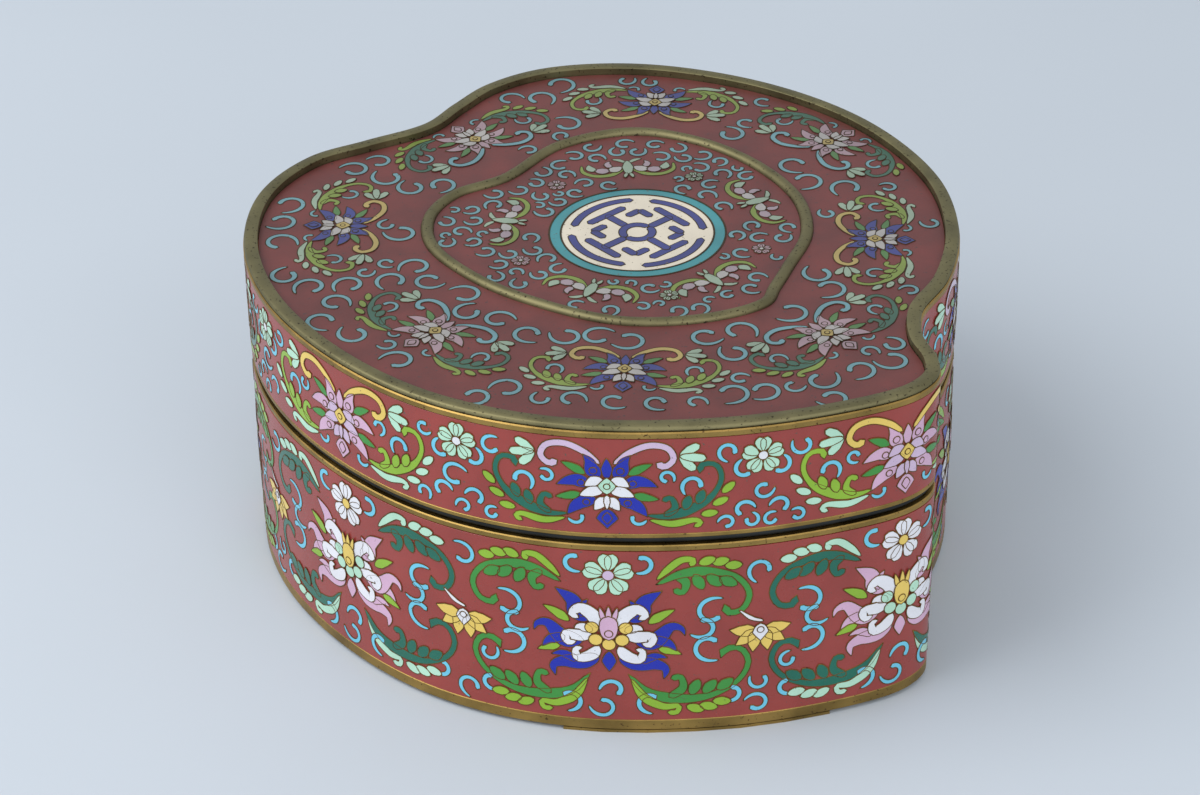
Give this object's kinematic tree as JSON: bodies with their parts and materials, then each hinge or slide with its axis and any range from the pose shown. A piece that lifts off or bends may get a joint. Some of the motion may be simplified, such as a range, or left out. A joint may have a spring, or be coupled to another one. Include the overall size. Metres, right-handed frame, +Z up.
{
  "type": "lidded box",
  "caption": "Low peach-shaped enamelled metal box with a lift-off lid, recessed lid top and inner collar.",
  "frame": {"origin": "centre of the box's outer footprint, on the surface that it stands on", "axes": "+Z up; the peach's tip points to -Y and its cleft to +Y; +X completes the right-hand set"},
  "size_m": [0.2376, 0.25, 0.1176],
  "materials": {
    "copper": "plain copper sheet",
    "red_enamel": "polished opaque brick-red enamel with coloured wire-edged flowers",
    "dull_red_enamel": "rubbed opaque red enamel with coloured wire-edged flowers",
    "blue_enamel": "plain turquoise enamel lining",
    "teal_enamel": "opaque teal enamel",
    "cream_enamel": "opaque cream enamel with blue bars",
    "gilt": "worn gilding on brass",
    "bronze": "brown-green patina",
    "dark_metal": "near-black patina"
  },
  "bodies": {
    "base": {"base_wall": "copper", "base_wall_enamel": "red_enamel", "base_lining_enamel": "blue_enamel", "base_floor_plate": "copper", "base_floor_lining": "blue_enamel", "base_counter_enamel": "blue_enamel", "base_lower_rim": "gilt", "base_upper_rim": "gilt", "base_inner_collar": "dark_metal", "base_foot_front": "gilt", "base_foot_right": "gilt", "base_foot_left": "gilt"},
    "lid": {"lid_wall": "copper", "lid_wall_enamel": "red_enamel", "lid_wall_lining": "blue_enamel", "lid_lower_rim": "gilt", "lid_upper_wire": "gilt", "lid_top_rim": "bronze", "lid_top_plate": "copper", "lid_top_field_enamel": "dull_red_enamel", "lid_centre_field_enamel": "dull_red_enamel", "lid_medallion_outer_wire": "gilt", "lid_medallion_ring": "teal_enamel", "lid_medallion_inner_wire": "gilt", "lid_medallion_disc": "cream_enamel", "lid_bead": "bronze", "lid_ceiling_lining": "blue_enamel"}
  },
  "joints": [
    {"name": "lid_lift", "type": "slide", "parent": "base", "child": "lid", "axis": [0, 0, 1], "range_m": [0, 0.08]}
  ]
}
